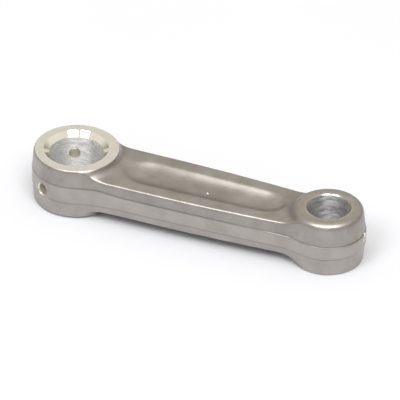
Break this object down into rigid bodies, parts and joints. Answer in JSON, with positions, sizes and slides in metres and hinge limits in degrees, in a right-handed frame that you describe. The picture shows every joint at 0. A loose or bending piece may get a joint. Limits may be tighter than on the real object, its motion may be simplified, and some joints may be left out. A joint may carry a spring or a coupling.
{
  "type": "connecting rod",
  "caption": "Forged aluminium engine connecting rod with a grooved beam, a larger and a smaller bushed eye, and radial oil holes.",
  "frame": {"origin": "centre of the crankpin bore, halfway through the thickness of the crankpin eye", "axes": "+X runs along the beam to the piston-pin eye, +Z runs along both bores, +Y is across the beam"},
  "size_m": [0.0417, 0.0106, 0.0068],
  "materials": {
    "forged_body": "satin, tumbled forging with turned eye faces",
    "bearing_bush": "reamed bright bearing metal"
  },
  "bodies": {
    "root": {"rod_forging": "forged_body", "big_end_bush": "bearing_bush", "small_end_bush": "bearing_bush"}
  },
  "joints": []
}
